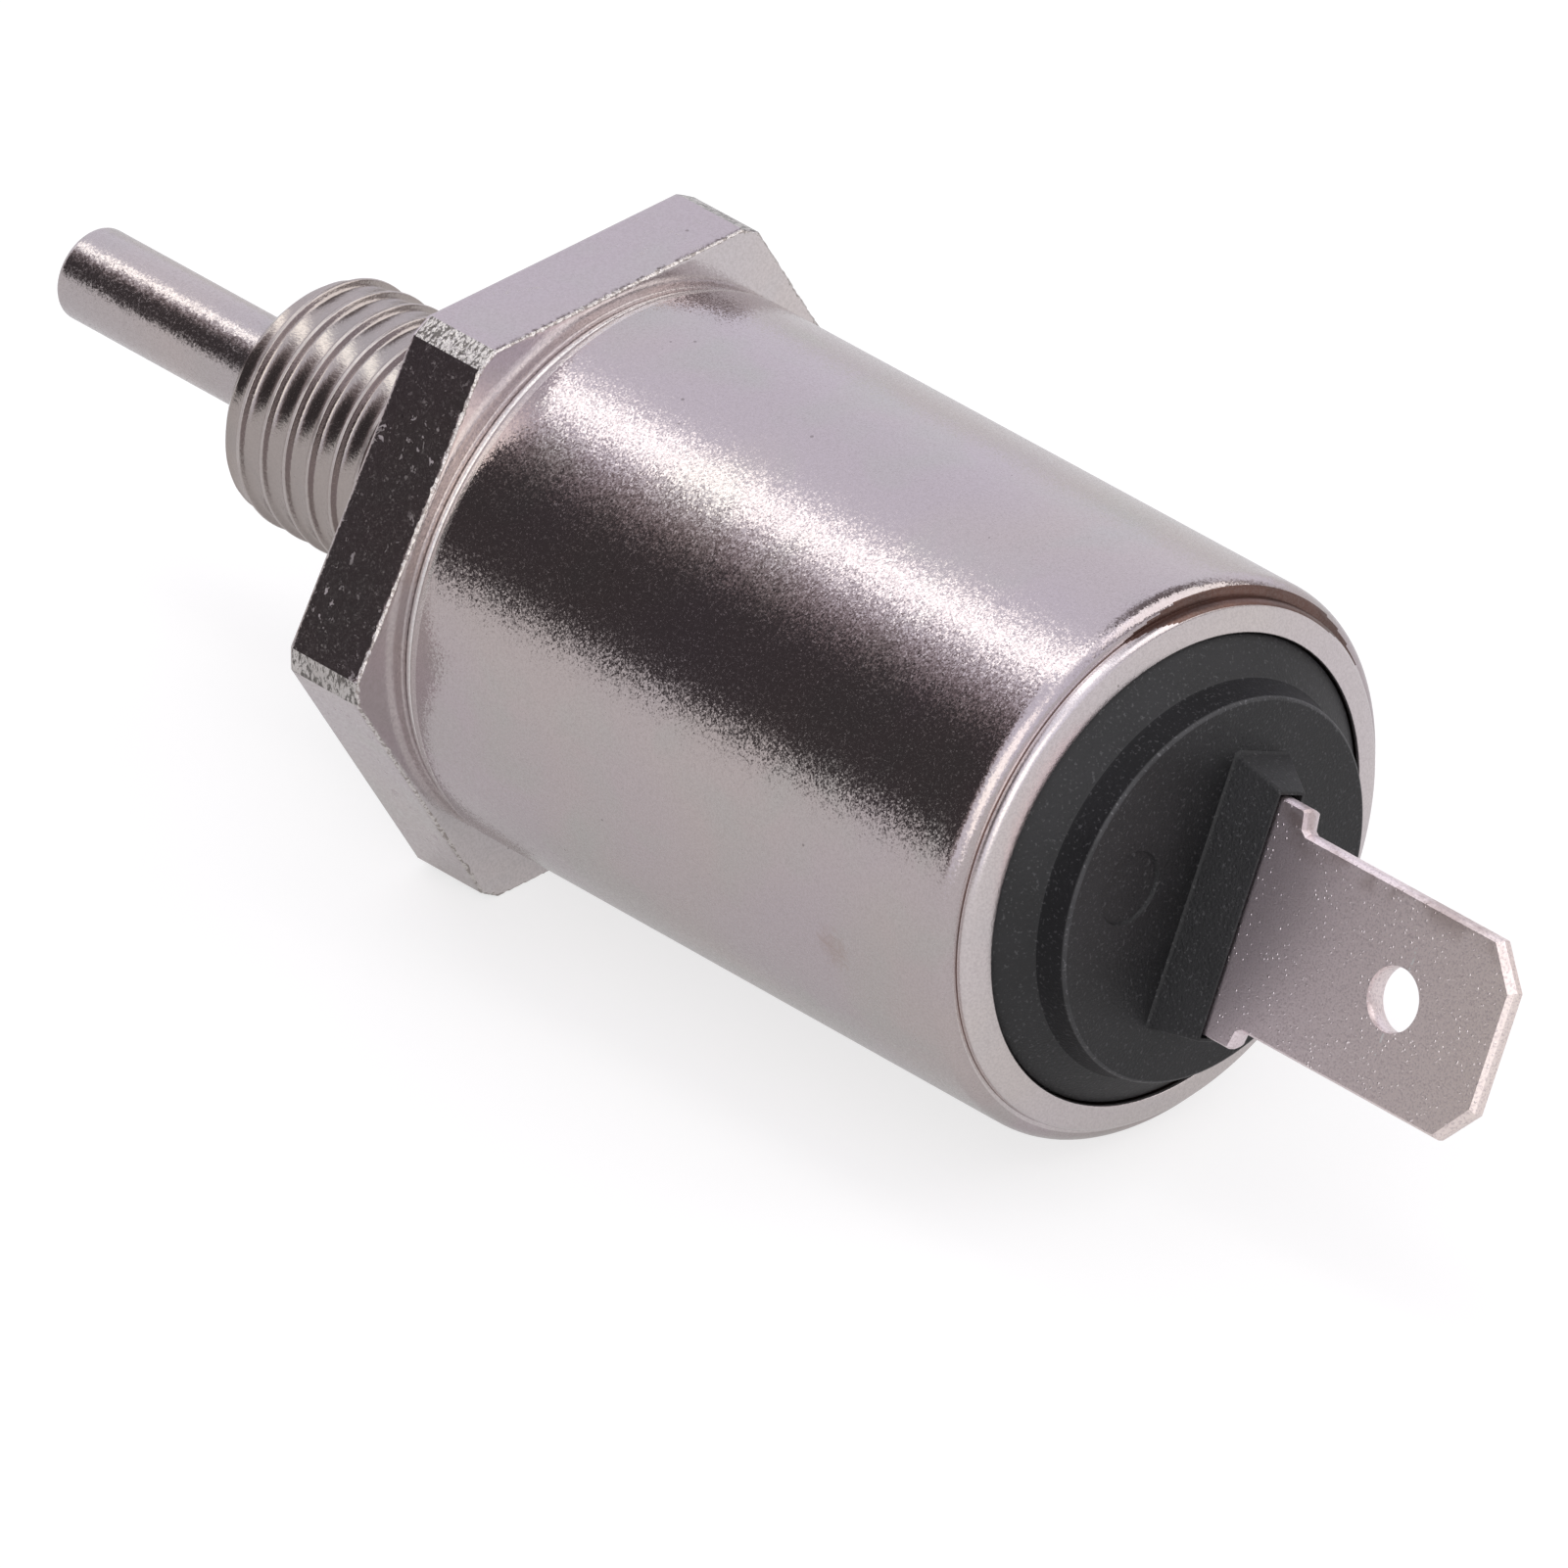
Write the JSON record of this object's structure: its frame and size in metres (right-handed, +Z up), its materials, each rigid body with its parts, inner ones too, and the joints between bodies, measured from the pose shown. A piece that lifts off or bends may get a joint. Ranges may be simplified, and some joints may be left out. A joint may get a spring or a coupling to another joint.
{
  "type": "fuel shutoff solenoid",
  "caption": "Cylindrical solenoid valve with a threaded boss, hexagon flange, sliding valve pin at the front and a spade terminal at the rear.",
  "frame": {"origin": "centre of the hexagon's front seating face, on the axis of the thread", "axes": "+X along the thread's axis from the pin end to the terminal, +Z up, with one flat of the hexagon facing down"},
  "size_m": [0.0609, 0.0214, 0.019],
  "materials": {
    "plated_steel": "satin nickel plate, fine grain",
    "plated_brass": "satin nickel plate on the turned body",
    "pin_steel": "satin steel",
    "cap_plastic": "moulded black",
    "tinned_terminal": "tin plate with a faint copper tint",
    "core_iron": "turned",
    "spring_steel": "drawn wire",
    "brass": "drawn",
    "bobbin_plastic": "moulded natural nylon",
    "magnet_wire": "enamelled copper wire",
    "coil_tape": "polyester tape",
    "rubber": "moulded",
    "fibre": "vulcanised fibre",
    "sleeve_plastic": "woven insulating sleeve"
  },
  "bodies": {
    "housing": {"hex_body": "plated_brass", "shell_can": "plated_steel", "end_cap": "cap_plastic", "terminal_tab": "tinned_terminal", "stop_washer": "fibre", "return_spring": "spring_steel", "anti_stick_shim": "brass", "pole_piece": "core_iron", "guide_tube": "brass", "bobbin": "bobbin_plastic", "coil_winding": "magnet_wire", "coil_tape": "coil_tape", "front_insulator": "fibre", "front_seal_ring": "rubber", "spring_washer": "spring_steel", "rear_flux_washer": "core_iron", "insulating_disc": "fibre", "cap_gasket": "rubber", "start_lead": "magnet_wire", "lead_sleeve": "sleeve_plastic", "ground_lead": "magnet_wire"},
    "armature": {"valve_pin": "pin_steel", "plunger": "core_iron"}
  },
  "joints": [
    {"name": "plunger_slide", "type": "slide", "parent": "housing", "child": "armature", "axis": [1, 0, 0], "range_m": [0, 0.003], "stiffness_N_per_m": 250, "springref_m": -0.004, "deforming": ["return_spring"]}
  ]
}
